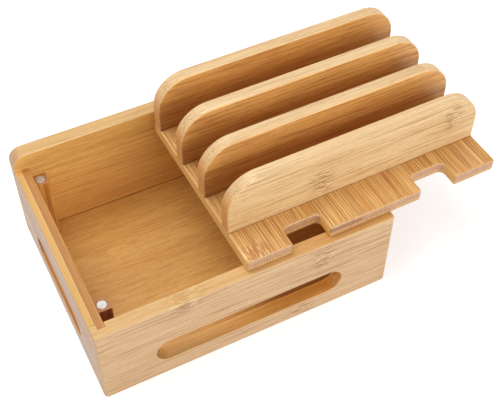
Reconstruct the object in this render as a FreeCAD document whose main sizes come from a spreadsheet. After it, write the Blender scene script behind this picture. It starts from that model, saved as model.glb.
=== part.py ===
import FreeCAD, Part
import math
import os
import Sketcher

# Bamboo charging station: a box for a charger and its cables, and a loose lid with four dividers.
# Millimetres, +Z up, +Y to the back. The origin is the middle of the box's underside.
# The lid lies across the front and right walls, slid off its seat to the right.

Vector = FreeCAD.Vector

SIZES = {
    # Box
    "box_length": 250.0,
    "box_depth": 191.5,
    "wall_height": 80.0,
    "back_rise": 15.0,
    "front_thickness": 12.0,
    "back_thickness": 13.0,
    "side_outer_ply": 6.0,
    "side_inner_ply": 6.0,
    "base_thickness": 5.0,
    "tongue_length": 5.0,
    "back_corner_round": 11.0,
    "front_corner_round": 2.5,
    # Cable slots
    "slot_bottom": 16.6,
    "slot_height": 24.0,
    "front_slot_margin": 44.6,
    "side_slot_margin": 33.0,
    # Posts and magnets
    "post_rim": 2.0,
    "front_post_setback": 15.6,
    "magnet_diameter": 8.0,
    "magnet_thickness": 3.0,
    "magnet_bevel": 0.4,
    "magnet_clearance": 0.15,
    # Lid
    "lid_gap": 0.4,
    "plate_thickness": 10.8,
    "notch_width": 32.4,
    "notch_depth": 17.4,
    "notch_round": 5.0,
    "tab_corner_round": 2.0,
    "divider_thickness": 11.3,
    "divider_height": 48.0,
    "divider_corner_round": 28.0,
    "front_divider_margin": 31.6,
    # Where the lid lies when it is off its seat, with its turn in degrees
    "lid_slid_right": 110.5,
    "lid_slid_forward": 8.25,
    "lid_turn": 0.85,
    # Divider screws
    "screw_end_inset": 40.0,
    "screw_diameter": 3.0,
    "screw_reach": 14.2,
    "screw_tip": 4.0,
    "screw_head_diameter": 6.0,
    "screw_head_height": 1.8,
    "screw_clearance": 0.1,
    "recess_length": 3.2,
    "recess_width": 0.9,
    "recess_depth": 1.2,
    # Edges
    "edge_round": 1.3,
    "inner_edge_round": 0.8,
    "seam_round": 0.4,
    "cut_overrun": 1.0,
}

# Middle of each notch along the lid, and front face of each divider along the stretch that they share.
notch_place_shares = (0.2432, 0.7568)
divider_place_shares = (0.0, 0.329, 0.651, 1.0)
DIVIDERS = ("front_divider", "third_divider", "second_divider", "rear_divider")

# Derived lengths, as expressions on the sheet
SIDE = "(Sizes.side_outer_ply + Sizes.side_inner_ply)"
INNER_LENGTH = f"(Sizes.box_length - 2 * {SIDE})"
INNER_DEPTH = "(Sizes.box_depth - Sizes.front_thickness - Sizes.back_thickness)"
FRONT_INNER = "(Sizes.front_thickness - Sizes.box_depth / 2)"
BACK_INNER = "(Sizes.box_depth / 2 - Sizes.back_thickness)"
BACK_HEIGHT = "(Sizes.wall_height + Sizes.back_rise)"
BASE_LENGTH = "(Sizes.box_length - 2 * Sizes.side_outer_ply)"
BASE_DEPTH = f"({INNER_DEPTH} + 2 * Sizes.tongue_length)"
POST_WIDTH = "(Sizes.magnet_diameter + 2 * Sizes.post_rim)"
POST_HEIGHT = "(Sizes.wall_height - Sizes.plate_thickness - Sizes.base_thickness)"
POCKET_DIAMETER = "(Sizes.magnet_diameter + 2 * Sizes.magnet_clearance)"
LID_LENGTH = f"({INNER_LENGTH} - 2 * Sizes.lid_gap)"
LID_DEPTH = f"({INNER_DEPTH} - 2 * Sizes.lid_gap)"
LID_X = f"(Sizes.lid_slid_right - {LID_LENGTH} / 2)"
LID_Y = f"({FRONT_INNER} + Sizes.lid_gap - Sizes.lid_slid_forward)"
LID_TURN = "(Sizes.lid_turn * 1 deg)"
DIVIDER_SPAN = f"({LID_DEPTH} - Sizes.divider_thickness - Sizes.front_divider_margin)"
DIVIDER_ROUND = "min(Sizes.divider_corner_round; Sizes.divider_height - 2 * Sizes.edge_round)"
SCREW_HOLE = "(Sizes.screw_diameter + 2 * Sizes.screw_clearance)"
SCREW_HEAD_HOLE = "(Sizes.screw_head_diameter + 2 * Sizes.screw_clearance)"
SCREW_HEAD_ANGLE = "2 * atan((Sizes.screw_head_diameter - Sizes.screw_diameter) / 2 / Sizes.screw_head_height)"
SCREW_LENGTH = "(Sizes.plate_thickness + Sizes.screw_reach)"
SCREW_ENDS = ("Sizes.screw_end_inset", f"({LID_LENGTH} - Sizes.screw_end_inset)")

# Near corner of each post in the box, and middle of the magnet over it in the lid's own frame
LEFT_POST_X = f"(-{INNER_LENGTH} / 2)"
RIGHT_POST_X = f"({INNER_LENGTH} / 2 - {POST_WIDTH})"
FRONT_POST_Y = f"({FRONT_INNER} + Sizes.front_post_setback)"
REAR_POST_Y = f"({BACK_INNER} - {POST_WIDTH})"
MAGNET_INSET = f"({POST_WIDTH} / 2 - Sizes.lid_gap)"
FRONT_MAGNET_V = f"(Sizes.front_post_setback + {MAGNET_INSET})"
POST_PLACES = {
    "front_left": (LEFT_POST_X, FRONT_POST_Y),
    "front_right": (RIGHT_POST_X, FRONT_POST_Y),
    "rear_left": (LEFT_POST_X, REAR_POST_Y),
    "rear_right": (RIGHT_POST_X, REAR_POST_Y),
}
LID_MAGNET_PLACES = {
    "front_left": (MAGNET_INSET, FRONT_MAGNET_V),
    "front_right": (f"({LID_LENGTH} - {MAGNET_INSET})", FRONT_MAGNET_V),
    "rear_left": (MAGNET_INSET, f"({LID_DEPTH} - {MAGNET_INSET})"),
    "rear_right": (f"({LID_LENGTH} - {MAGNET_INSET})", f"({LID_DEPTH} - {MAGNET_INSET})"),
}
DIVIDER_PLACES = {
    label: f"(Sizes.front_divider_margin + {DIVIDER_SPAN} * {share})"
    for label, share in zip(DIVIDERS, divider_place_shares)
}
SCREW_PLACES = [
    (u, f"({v} + Sizes.divider_thickness / 2)") for v in DIVIDER_PLACES.values() for u in SCREW_ENDS
]

nearness = 0.0001

doc = FreeCAD.newDocument("charging_station_organizer")
sheet = doc.addObject("Spreadsheet::Sheet", "Sizes")
for row, (alias, size) in enumerate(SIZES.items(), start=1):
    sheet.set(f"A{row}", alias)
    sheet.set(f"B{row}", str(size))
    sheet.setAlias(f"B{row}", alias)
doc.recompute()

nodes = []


def value(expression):
    """The number that an expression on the sheet comes to."""
    result = sheet.evalExpression(expression)
    return float(getattr(result, "Value", result))


def new_body(label):
    body = doc.addObject("PartDesign::Body", label)
    body.Label = label
    return body


def in_box(piece, x, y, z):
    """Seat a piece of the box, and keep it as a node."""
    for axis, expression in zip("xyz", (x, y, z)):
        piece.setExpression(f"Placement.Base.{axis}", expression)
    nodes.append(piece)


def on_lid(piece, u, v, w):
    """Seat a piece of the lid at a point of the lid's own frame, as the lid lies."""
    piece.setExpression("Placement.Base.x", f"{LID_X} + {u} * cos({LID_TURN}) - {v} * sin({LID_TURN})")
    piece.setExpression("Placement.Base.y", f"{LID_Y} + {u} * sin({LID_TURN}) + {v} * cos({LID_TURN})")
    piece.setExpression("Placement.Base.z", f"Sizes.wall_height + {w}")
    piece.setExpression("Placement.Rotation.Angle", LID_TURN)


def new_sketch(body, role, height=None):
    """A sketch on one of the body's own origin planes, or raised off it by an expression."""
    sketch = body.newObject("Sketcher::SketchObject", "sketch")
    plane = next(item for item in body.Origin.OriginFeatures if item.Role == role)
    sketch.AttachmentSupport = (plane, [""])
    sketch.MapMode = "FlatFace"
    if height:
        sketch.setExpression("AttachmentOffset.Base.z", height)
    return sketch


def bind(sketch, expression, kind, *where):
    """Add a constraint whose size follows an expression."""
    rule = sketch.addConstraint(Sketcher.Constraint(kind, *where, value(expression)))
    sketch.setExpression(f"Constraints[{rule}]", expression)


def place_point(sketch, geometry, point, x, y):
    """Hold a point of a sketch at two expressions, measured from the sketch's origin."""
    for kind, axis, expression in (("DistanceX", -2, x), ("DistanceY", -1, y)):
        if expression == "0":
            sketch.addConstraint(Sketcher.Constraint("PointOnObject", geometry, point, axis))
        else:
            bind(sketch, expression, kind, -1, 1, geometry, point)


def polygon(sketch, corners):
    """A closed outline of straight lines through corners given as pairs of expressions."""
    first = sketch.GeometryCount
    points = [Vector(value(x), value(y), 0) for x, y in corners]
    for start, end in zip(points, points[1:] + points[:1]):
        sketch.addGeometry(Part.LineSegment(start, end))
    for index, (x, y) in enumerate(corners):
        before = first + (index - 1) % len(corners)
        sketch.addConstraint(Sketcher.Constraint("Coincident", before, 2, first + index, 1))
        place_point(sketch, first + index, 1, x, y)


def rectangle(sketch, left, bottom, right, top):
    polygon(sketch, [(left, bottom), (right, bottom), (right, top), (left, top)])


def circle(sketch, x, y, diameter):
    centre = Vector(value(x), value(y), 0)
    ring = sketch.addGeometry(Part.Circle(centre, Vector(0, 0, 1), value(diameter) / 2))
    place_point(sketch, ring, 3, x, y)
    bind(sketch, diameter, "Diameter", ring)


def cable_slot(sketch, left, right):
    """A slot with full round ends, at the height that all the walls share."""
    radius = "(Sizes.slot_height / 2)"
    middle = f"(Sizes.slot_bottom + {radius})"
    places = (f"({left} + {radius})", f"({right} - {radius})")
    centres = [Vector(value(x), value(middle), 0) for x in places]
    rings = [Part.Circle(centre, Vector(0, 0, 1), value(radius)) for centre in centres]
    rise = Vector(0, value(radius), 0)
    left_arc = sketch.addGeometry(Part.ArcOfCircle(rings[0], math.pi / 2, 3 * math.pi / 2))
    lower = sketch.addGeometry(Part.LineSegment(centres[0] - rise, centres[1] - rise))
    right_arc = sketch.addGeometry(Part.ArcOfCircle(rings[1], -math.pi / 2, math.pi / 2))
    upper = sketch.addGeometry(Part.LineSegment(centres[1] + rise, centres[0] + rise))
    chain = (left_arc, lower, right_arc, upper)
    for piece, following in zip(chain, chain[1:] + chain[:1]):
        sketch.addConstraint(Sketcher.Constraint("Tangent", piece, 2, following, 1))
    sketch.addConstraint(Sketcher.Constraint("Equal", left_arc, right_arc))
    for arc, x in zip((left_arc, right_arc), places):
        place_point(sketch, arc, 3, x, middle)
    bind(sketch, radius, "Radius", left_arc)


def pad(body, sketch, length, back=False):
    feature = body.newObject("PartDesign::Pad", "pad")
    feature.Profile = sketch
    feature.Reversed = back
    feature.setExpression("Length", length)
    doc.recompute()


def pocket(body, sketch, depth, back=False):
    volume = body.Shape.Volume
    feature = body.newObject("PartDesign::Pocket", "pocket")
    feature.Profile = sketch
    feature.Reversed = back
    feature.setExpression("Length", depth)
    doc.recompute()
    if body.Shape.Volume >= volume:
        raise RuntimeError(f"A pocket of {body.Label} cuts nothing")


def flat(box, axis, place):
    """Whether a bounding box lies flat at a place along an axis."""
    return all(abs(getattr(box, axis + end) - place) < nearness for end in ("Min", "Max"))


def dress_edges(body, kind, dimension, size, chosen):
    """Round or bevel the edges whose bounding boxes are chosen."""
    base = body.Tip
    names = [f"Edge{n}" for n, edge in enumerate(base.Shape.Edges, start=1) if chosen(edge.BoundBox)]
    feature = body.newObject(kind, "edges")
    feature.Base = (base, names)
    feature.setExpression(dimension, size)
    doc.recompute()


def round_edges(body, radius, chosen):
    dress_edges(body, "PartDesign::Fillet", "Radius", radius, chosen)


def joint_cuts(body, near, far, groove_height):
    """Cut the grooves for the inner plies and the rabbet for the base board in an end panel's inner face."""
    grooves = new_sketch(body, "XY_Plane")
    rectangle(grooves, "Sizes.side_outer_ply", near, SIDE, far)
    rectangle(grooves, f"(Sizes.box_length - {SIDE})", near, "(Sizes.box_length - Sizes.side_outer_ply)", far)
    pocket(body, grooves, groove_height, back=True)
    rabbet = new_sketch(body, "XY_Plane")
    rectangle(rabbet, "Sizes.side_outer_ply", near, "(Sizes.box_length - Sizes.side_outer_ply)", far)
    pocket(body, rabbet, "Sizes.base_thickness", back=True)


def front_panel():
    """Drawn from its outer lower left corner, with its inner face to the back."""
    length = value("Sizes.box_length")
    height = value("Sizes.wall_height")
    inner = value("Sizes.front_thickness")
    body = new_body("front_panel")
    outline = new_sketch(body, "XZ_Plane")
    rectangle(outline, "0", "0", "Sizes.box_length", "Sizes.wall_height")
    cable_slot(outline, "Sizes.front_slot_margin", "(Sizes.box_length - Sizes.front_slot_margin)")
    pad(body, outline, "Sizes.front_thickness", back=True)

    def on_slot(box):
        return 0 < box.ZMin and box.ZMax < height and (flat(box, "Y", 0) or flat(box, "Y", inner))

    def on_end(box):
        return flat(box, "Y", 0) and (flat(box, "X", 0) or flat(box, "X", length))

    def on_rim(box):
        return flat(box, "Z", height) and (flat(box, "Y", 0) or flat(box, "X", 0) or flat(box, "X", length))

    round_edges(body, "Sizes.inner_edge_round", lambda box: on_slot(box) and box.XLength < length - nearness)
    round_edges(body, "Sizes.front_corner_round", on_end)
    round_edges(body, "Sizes.edge_round", on_rim)
    joint_cuts(
        body,
        "(Sizes.front_thickness - Sizes.tongue_length)",
        "(Sizes.front_thickness + Sizes.cut_overrun)",
        "(Sizes.wall_height + Sizes.cut_overrun)",
    )
    clear_of_grooves = value(SIDE) - nearness
    round_edges(
        body,
        "Sizes.inner_edge_round",
        lambda box: flat(box, "Z", height) and flat(box, "Y", inner) and clear_of_grooves < box.XMin
        and box.XMax < length - clear_of_grooves,
    )
    in_box(body, "-Sizes.box_length / 2", "-Sizes.box_depth / 2", "0")


def back_panel():
    """Drawn from its inner lower left corner, with its outer face to the back."""
    length = value("Sizes.box_length")
    height = value(BACK_HEIGHT)
    body = new_body("back_panel")
    outline = new_sketch(body, "XZ_Plane")
    rectangle(outline, "0", "0", "Sizes.box_length", BACK_HEIGHT)
    pad(body, outline, "Sizes.back_thickness", back=True)
    round_edges(
        body,
        "Sizes.back_corner_round",
        lambda box: flat(box, "Z", height) and (flat(box, "X", 0) or flat(box, "X", length)),
    )
    round_edges(body, "Sizes.edge_round", lambda box: flat(box, "Z", height) and box.XLength > box.YLength)
    joint_cuts(body, "-Sizes.cut_overrun", "Sizes.tongue_length", "Sizes.wall_height")
    in_box(body, "-Sizes.box_length / 2", BACK_INNER, "0")


def side_ply(label, ply, shown_face, x):
    """One ply of a side wall, whose ends run past the inner depth and whose foot may stand off the floor."""
    thickness, end, foot = ply
    length = f"({INNER_DEPTH} + 2 * {end})"
    top = value("Sizes.wall_height")
    body = new_body(label)
    outline = new_sketch(body, "YZ_Plane")
    rectangle(outline, "0", foot, length, "Sizes.wall_height")
    margin = f"({end} + Sizes.side_slot_margin)"
    cable_slot(outline, margin, f"({length} - {margin})")
    pad(body, outline, thickness)
    shown = value(shown_face)
    hidden = value(thickness) - shown
    bottom = value(foot)
    round_edges(
        body,
        "Sizes.inner_edge_round",
        lambda box: flat(box, "X", shown) and bottom < box.ZMin and box.ZMax < top,
    )
    rim_round = "Sizes.edge_round" if end == "0" else "Sizes.inner_edge_round"
    round_edges(body, rim_round, lambda box: flat(box, "Z", top) and flat(box, "X", shown))
    round_edges(body, "Sizes.seam_round", lambda box: flat(box, "Z", top) and flat(box, "X", hidden))
    in_box(body, x, f"({FRONT_INNER} - {end})", "0")


def base_board():
    board = doc.addObject("Part::Box", "base_board")
    board.Label = "base_board"
    board.setExpression("Length", BASE_LENGTH)
    board.setExpression("Width", BASE_DEPTH)
    board.setExpression("Height", "Sizes.base_thickness")
    in_box(board, f"-{BASE_LENGTH} / 2", f"{FRONT_INNER} - Sizes.tongue_length", "0")


def post(label, x, y):
    """Stands on the base board, with a blind hole for a magnet in its top."""
    body = new_body(label)
    outline = new_sketch(body, "XY_Plane")
    rectangle(outline, "0", "0", POST_WIDTH, POST_WIDTH)
    pad(body, outline, POST_HEIGHT)
    hole = new_sketch(body, "XY_Plane", POST_HEIGHT)
    circle(hole, f"({POST_WIDTH} / 2)", f"({POST_WIDTH} / 2)", POCKET_DIAMETER)
    pocket(body, hole, "Sizes.magnet_thickness")
    in_box(body, x, y, "Sizes.base_thickness")


def magnet(label):
    """A bevelled disc, drawn from the middle of its lower face."""
    body = new_body(label)
    outline = new_sketch(body, "XY_Plane")
    circle(outline, "0", "0", "Sizes.magnet_diameter")
    pad(body, outline, "Sizes.magnet_thickness")
    dress_edges(body, "PartDesign::Chamfer", "Size", "Sizes.magnet_bevel", lambda box: box.ZLength < nearness)
    return body


def lid_plate():
    """Drawn from its front lower left corner."""
    notch_end = value("Sizes.notch_depth")
    body = new_body("lid_plate")
    outline = new_sketch(body, "XY_Plane")
    rectangle(outline, "0", "0", LID_LENGTH, LID_DEPTH)
    pad(body, outline, "Sizes.plate_thickness")
    notches = new_sketch(body, "XY_Plane")
    for share in notch_place_shares:
        left = f"({LID_LENGTH} * {share} - Sizes.notch_width / 2)"
        rectangle(notches, left, "-Sizes.cut_overrun", f"({left} + Sizes.notch_width)", "Sizes.notch_depth")
    pocket(body, notches, "(Sizes.plate_thickness + Sizes.cut_overrun)", back=True)
    round_edges(body, "Sizes.notch_round", lambda box: box.ZLength > nearness and flat(box, "Y", notch_end))
    round_edges(body, "Sizes.tab_corner_round", lambda box: box.ZLength > nearness and flat(box, "Y", 0))
    round_edges(body, "Sizes.edge_round", lambda box: box.ZLength < nearness and flat(box, "Y", 0))
    pockets = new_sketch(body, "XY_Plane")
    for u, v in LID_MAGNET_PLACES.values():
        circle(pockets, u, v, POCKET_DIAMETER)
    pocket(body, pockets, "Sizes.magnet_thickness", back=True)
    screw_holes(body)
    on_lid(body, "0", "0", "0")
    nodes.append(body)


def screw_holes(body):
    """Countersunk holes from under the plate, on the middle line of each divider."""
    places = new_sketch(body, "XY_Plane")
    for u, v in SCREW_PLACES:
        circle(places, u, v, SCREW_HOLE)
    doc.recompute()
    hole = body.newObject("PartDesign::Hole", "hole")
    hole.Profile = places
    hole.Reversed = True
    hole.DepthType = "ThroughAll"
    hole.HoleCutType = "Countersink"
    hole.HoleCutCustomValues = True
    hole.setExpression("Diameter", SCREW_HOLE)
    hole.setExpression("HoleCutDiameter", SCREW_HEAD_HOLE)
    hole.setExpression("HoleCutCountersinkAngle", SCREW_HEAD_ANGLE)
    doc.recompute()


def divider(label, v):
    """An upright board as long as the plate, drawn from its front lower left corner."""
    top = value("Sizes.divider_height")
    body = new_body(label)
    outline = new_sketch(body, "XZ_Plane")
    rectangle(outline, "0", "0", LID_LENGTH, "Sizes.divider_height")
    pad(body, outline, "Sizes.divider_thickness", back=True)
    round_edges(body, DIVIDER_ROUND, lambda box: flat(box, "Z", top) and box.YLength > nearness)
    round_edges(body, "Sizes.edge_round", lambda box: flat(box, "Z", top) and box.YLength < nearness)
    pilots = new_sketch(body, "XY_Plane")
    for u in SCREW_ENDS:
        circle(pilots, u, "(Sizes.divider_thickness / 2)", SCREW_HOLE)
    pocket(body, pilots, "(Sizes.screw_reach + Sizes.screw_clearance)", back=True)
    on_lid(body, "0", v, "Sizes.plate_thickness")
    nodes.append(body)


def wood_screw():
    """A countersunk screw, drawn point up from the middle of its head, with a cross recess."""
    body = new_body("wood_screw")
    profile = new_sketch(body, "XZ_Plane")
    shank = "(Sizes.screw_diameter / 2)"
    outline = [
        ("0", "0"),
        ("(Sizes.screw_head_diameter / 2)", "0"),
        (shank, "Sizes.screw_head_height"),
        (shank, f"({SCREW_LENGTH} - Sizes.screw_tip)"),
        ("0", SCREW_LENGTH),
    ]
    polygon(profile, outline)
    turned = body.newObject("PartDesign::Revolution", "turned")
    turned.Profile = profile
    turned.ReferenceAxis = (profile, ["V_Axis"])
    doc.recompute()
    cross = new_sketch(body, "XY_Plane")
    near = "(Sizes.recess_width / 2)"
    far = "(Sizes.recess_length / 2)"
    quarter = [(far, near), (near, near), (near, far)]
    corners = []
    for _ in range(4):
        corners += quarter
        quarter = [(f"(-{y})", x) for x, y in quarter]
    polygon(cross, corners)
    pocket(body, cross, "Sizes.recess_depth", back=True)
    return body


def divider_screws():
    screw = wood_screw()
    group = doc.addObject("Part::Compound", "divider_screws")
    group.Label = "divider_screws"
    links = []
    for u, v in SCREW_PLACES:
        link = doc.addObject("App::Link", "screw_place")
        link.LinkedObject = screw
        on_lid(link, u, v, "0")
        links.append(link)
    group.Links = links
    nodes.append(group)


front_panel()
back_panel()
OUTER_PLY = ("Sizes.side_outer_ply", "0", "0")
INNER_PLY = ("Sizes.side_inner_ply", "Sizes.tongue_length", "Sizes.base_thickness")
side_ply("left_side_outer_ply", OUTER_PLY, "0", "-Sizes.box_length / 2")
side_ply("left_side_inner_ply", INNER_PLY, "Sizes.side_inner_ply", f"-{BASE_LENGTH} / 2")
side_ply("right_side_outer_ply", OUTER_PLY, "Sizes.side_outer_ply", f"{BASE_LENGTH} / 2")
side_ply("right_side_inner_ply", INNER_PLY, "0", f"{INNER_LENGTH} / 2")
base_board()
for corner, (x, y) in POST_PLACES.items():
    post(f"{corner}_post", x, y)
    disc = magnet(f"{corner}_post_magnet")
    seat = f"Sizes.base_thickness + {POST_HEIGHT} - Sizes.magnet_thickness"
    in_box(disc, f"{x} + {POST_WIDTH} / 2", f"{y} + {POST_WIDTH} / 2", seat)
lid_plate()
for label, v in DIVIDER_PLACES.items():
    divider(label, v)
for corner, (u, v) in LID_MAGNET_PLACES.items():
    disc = magnet(f"{corner}_lid_magnet")
    on_lid(disc, u, v, "0")
    nodes.append(disc)
divider_screws()
doc.recompute()

for item in doc.Objects:
    if "Invalid" in item.State or "Error" in item.State:
        raise RuntimeError(f"{item.Label} failed: {item.State}")
for node in nodes:
    if node.Shape.isNull() or not node.Shape.isValid():
        raise RuntimeError(f"{node.Label} has no valid shape")

os.makedirs("parts", exist_ok=True)
for node in nodes:
    node.Shape.exportStep(f"parts/{node.Label}.step")
    print(node.Label, len(node.Shape.Solids), round(node.Shape.Volume))
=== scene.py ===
"""Bamboo charging station: a box for a charger and its cables, and a loose lid with four dividers.

Metres, +Z up, +Y to the back. The origin is the middle of the box's underside.
"""

import math

import bpy
from mathutils import Matrix, Vector


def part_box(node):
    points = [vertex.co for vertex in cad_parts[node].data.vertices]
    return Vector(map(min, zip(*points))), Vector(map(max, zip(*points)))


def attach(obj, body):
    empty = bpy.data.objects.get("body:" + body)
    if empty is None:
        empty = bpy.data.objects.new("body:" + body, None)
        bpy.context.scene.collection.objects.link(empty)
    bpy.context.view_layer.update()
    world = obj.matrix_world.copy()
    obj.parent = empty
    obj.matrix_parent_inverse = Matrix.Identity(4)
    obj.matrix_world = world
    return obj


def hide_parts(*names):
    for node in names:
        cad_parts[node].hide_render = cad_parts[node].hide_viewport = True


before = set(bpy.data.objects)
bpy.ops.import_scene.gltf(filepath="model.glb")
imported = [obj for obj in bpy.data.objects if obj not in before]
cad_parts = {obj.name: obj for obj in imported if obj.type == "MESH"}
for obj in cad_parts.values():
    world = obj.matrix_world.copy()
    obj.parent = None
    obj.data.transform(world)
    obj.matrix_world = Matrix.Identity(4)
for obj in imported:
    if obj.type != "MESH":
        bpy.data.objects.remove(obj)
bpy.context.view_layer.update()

MM = 0.001
X, Y, Z = 0, 1, 2

# How the lid lies on the box
LID_TURN = math.radians(0.85)

# Corners and edges of the boards
BACK_CORNER = 11.0 * MM
FRONT_CORNER = 2.5 * MM
DIVIDER_CORNER = 28.0 * MM
TAB_CORNER = 2.0 * MM
OUTER_EDGE = 1.3 * MM
INNER_EDGE = 0.8 * MM
SEAM_EDGE = 0.4 * MM
POST_EDGE = 0.35 * MM
MAGNET_EDGE = 0.4 * MM

# Cable slots, pockets, notches and screw holes
SLOT_BOTTOM = 16.6 * MM
SLOT_HEIGHT = 24.0 * MM
FRONT_SLOT_MARGIN = 44.6 * MM
SIDE_SLOT_MARGIN = 38.0 * MM
OUTER_PLY_SLOT_MARGIN = 33.0 * MM
POCKET_CLEARANCE = 0.15 * MM
NOTCH_WIDTH = 32.4 * MM
NOTCH_DEPTH = 17.4 * MM
NOTCH_CORNER = 5.0 * MM
NOTCH_PLACES = (0.2432, 0.7568)
SCREW_INSET = 40.0 * MM
SCREW_HEAD_HOLE = 3.1 * MM
SCREW_SHANK_HOLE = 1.6 * MM
SCREW_HEAD_HEIGHT = 1.8 * MM
OVERRUN = 1.0 * MM

# How finely the round parts are cut
SHARP = math.radians(30.0)
NEAR = 0.004 * MM
EDGE_STEPS = 4
CORNER_STEPS = 8
ARC_STEPS = 18
DISC_SIDES = 64
FULL_ROUND = 0.4995

DIVIDERS = ("front_divider", "third_divider", "second_divider", "rear_divider")
CORNERS = ("front_left", "front_right", "rear_left", "rear_right")


def only(piece):
    """Make one piece the one that the operators act on."""
    bpy.ops.object.select_all(action="DESELECT")
    piece.select_set(True)
    bpy.context.view_layer.objects.active = piece


def settle(piece):
    """Put a piece's place, turn and size into its mesh."""
    only(piece)
    bpy.ops.object.transform_apply(location=True, rotation=True, scale=True)


def block(name, low, high):
    """A sawn block of wood between two corners."""
    bpy.ops.object.select_all(action="DESELECT")
    bpy.ops.mesh.primitive_cube_add(size=1.0, location=(low + high) / 2, scale=high - low)
    piece = bpy.context.object
    piece.name = name
    settle(piece)
    return piece


def disc(name, middle, radius, low, high):
    """A turned disc on an upright axis, between two heights."""
    bpy.ops.object.select_all(action="DESELECT")
    place = (middle.x, middle.y, (low + high) / 2)
    bpy.ops.mesh.primitive_cylinder_add(vertices=DISC_SIDES, radius=radius, depth=high - low, location=place)
    piece = bpy.context.object
    piece.name = name
    settle(piece)
    return piece


def copy_of(piece, name, shift):
    """A copy with a mesh of its own, shifted from where the first one stands."""
    only(piece)
    bpy.ops.object.duplicate()
    twin = bpy.context.object
    twin.name = name
    twin.location = shift
    settle(twin)
    return twin


def cut_out(piece, cutter):
    """Saw the cutter's shape out of a piece."""
    only(piece)
    saw = piece.modifiers.new("saw", "BOOLEAN")
    saw.operation = "DIFFERENCE"
    saw.solver = "EXACT"
    saw.object = cutter
    bpy.ops.object.modifier_apply(modifier=saw.name)
    bpy.data.meshes.remove(cutter.data)


def lies_on(start, end, axis, place):
    """Whether an edge lies in the plane at a place along an axis."""
    return abs(start[axis] - place) < NEAR and abs(end[axis] - place) < NEAR


def runs_along(start, end, axis):
    """Whether an edge is parallel to an axis."""
    return all(abs(start[other] - end[other]) < NEAR for other in (X, Y, Z) if other != axis)


def inside(start, end, axis, low, high):
    """Whether both ends of an edge are between two places along an axis, and not at them."""
    return all(low[axis] + NEAR < point[axis] < high[axis] - NEAR for point in (start, end))


def round_edges(piece, radius, steps, wanted):
    """Round the sharp edges that pass the test wanted(start, end)."""
    only(piece)
    bpy.ops.object.mode_set(mode="EDIT")
    bpy.ops.mesh.select_mode(type="EDGE")
    bpy.ops.mesh.select_all(action="DESELECT")
    bpy.ops.mesh.edges_select_sharp(sharpness=SHARP)
    bpy.ops.object.mode_set(mode="OBJECT")
    points = piece.data.vertices
    for part in (points, piece.data.polygons):
        part.foreach_set("select", [False] * len(part))
    for edge in piece.data.edges:
        start, end = (points[index].co for index in edge.vertices)
        edge.select = edge.select and wanted(start, end)
    bpy.ops.object.mode_set(mode="EDIT")
    bpy.ops.mesh.bevel(
        offset_type="OFFSET", offset=radius, segments=steps, profile=0.5, affect="EDGES",
        clamp_overlap=False, loop_slide=False,
    )
    bpy.ops.object.mode_set(mode="OBJECT")


def saw_cable_slot(piece, through, margin):
    """Saw a slot with full round ends through a wall, at the height that all the slots share."""
    low, high = corners_of(piece)
    run = X if through == Y else Y
    low[through] -= OVERRUN
    high[through] += OVERRUN
    low[run] += margin
    high[run] -= margin
    low.z = SLOT_BOTTOM
    high.z = SLOT_BOTTOM + SLOT_HEIGHT
    cutter = block("slot_cutter", low, high)
    round_edges(
        cutter, SLOT_HEIGHT * FULL_ROUND, ARC_STEPS, lambda start, end: runs_along(start, end, through)
    )
    cut_out(piece, cutter)


def corners_of(piece):
    """A piece's lowest and highest corners."""
    points = [vertex.co for vertex in piece.data.vertices]
    low = Vector([min(point[axis] for point in points) for axis in (X, Y, Z)])
    high = Vector([max(point[axis] for point in points) for axis in (X, Y, Z)])
    return low, high


def lid_box(node):
    """A lid node's lowest and highest corners in the lid's own axes, as if the lid were not turned."""
    unturn = Matrix.Rotation(-LID_TURN, 3, "Z")
    points = [unturn @ vertex.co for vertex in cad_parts[node].data.vertices]
    low = Vector([min(point[axis] for point in points) for axis in (X, Y, Z)])
    high = Vector([max(point[axis] for point in points) for axis in (X, Y, Z)])
    return low, high


def turn_with_lid(piece):
    """Turn a piece that was made in the lid's own axes to the way the lid lies."""
    piece.rotation_euler.z = LID_TURN
    settle(piece)


def hand_over(piece, node, body, slot):
    """Smooth a finished piece, give it its finish and let it stand for its node."""
    only(piece)
    bpy.ops.object.shade_smooth_by_angle(angle=SHARP)
    even = piece.modifiers.new("even", "WEIGHTED_NORMAL")
    even.keep_sharp = True
    bpy.ops.object.modifier_apply(modifier=even.name)
    piece.data.materials.clear()
    piece.data.materials.append(FINISHES[slot])
    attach(piece, body)
    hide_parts(node)


# Node helpers


def add(tree, kind, feeds=None, **settings):
    """Add a node with its settings, its inputs fed by values or by other nodes' sockets."""
    made = tree.nodes.new(kind)
    for name, setting in settings.items():
        setattr(made, name, setting)
    for socket, feed in (feeds or {}).items():
        if isinstance(feed, bpy.types.NodeSocket):
            tree.links.new(feed, made.inputs[socket])
        else:
            made.inputs[socket].default_value = feed
    return made


def calc(tree, operation, *feeds):
    """A Math node's result."""
    return add(tree, "ShaderNodeMath", dict(enumerate(feeds)), operation=operation).outputs[0]


def together(tree, mask, *others):
    """Masks and strengths multiplied with each other."""
    for other in others:
        mask = calc(tree, "MULTIPLY", mask, other)
    return mask


def split(tree, vector):
    """A vector's three parts."""
    return add(tree, "ShaderNodeSeparateXYZ", {0: vector}).outputs


def join(tree, parts):
    """A vector made from its parts; the ones not given are 0."""
    return add(tree, "ShaderNodeCombineXYZ", parts).outputs[0]


def stretch(tree, vector, amounts):
    """A vector scaled along each of its axes."""
    scaled = add(tree, "ShaderNodeVectorMath", {0: vector, 1: amounts}, operation="MULTIPLY")
    return scaled.outputs[0]


def spread(tree, value, low, high, new_low=0.0, new_high=1.0):
    """A value between two limits, eased over to a new range."""
    feeds = {"Value": value, "From Min": low, "From Max": high, "To Min": new_low, "To Max": new_high}
    return add(tree, "ShaderNodeMapRange", feeds, interpolation_type="SMOOTHSTEP").outputs[0]


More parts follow.
